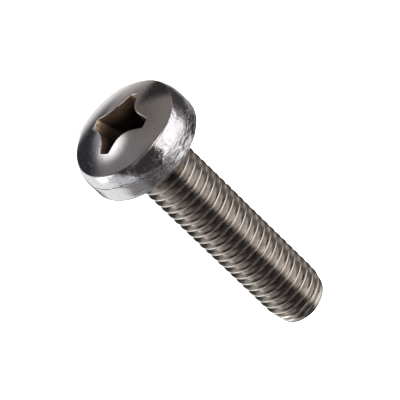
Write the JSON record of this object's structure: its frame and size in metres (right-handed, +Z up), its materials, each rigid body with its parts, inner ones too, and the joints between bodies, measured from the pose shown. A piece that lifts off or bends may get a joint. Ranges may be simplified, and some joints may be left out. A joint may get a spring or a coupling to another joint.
{
  "type": "machine screw",
  "caption": "Pan head machine screw, M6 x 25, fully threaded, with a cross recess in a polished dome; lies on its head rim and thread end.",
  "frame": {"origin": "on the plane the screw lies on, under the middle of its length", "axes": "+Z up; the screw lies along X with its head towards +X, its axis raised 7 degrees at the head end"},
  "size_m": [0.0298, 0.0118, 0.012],
  "materials": {
    "stainless_steel": "cold headed and rolled stainless steel, polished on the dome, slightly pitted on the head's side"
  },
  "bodies": {
    "root": {"machine_screw": "stainless_steel"}
  },
  "joints": []
}
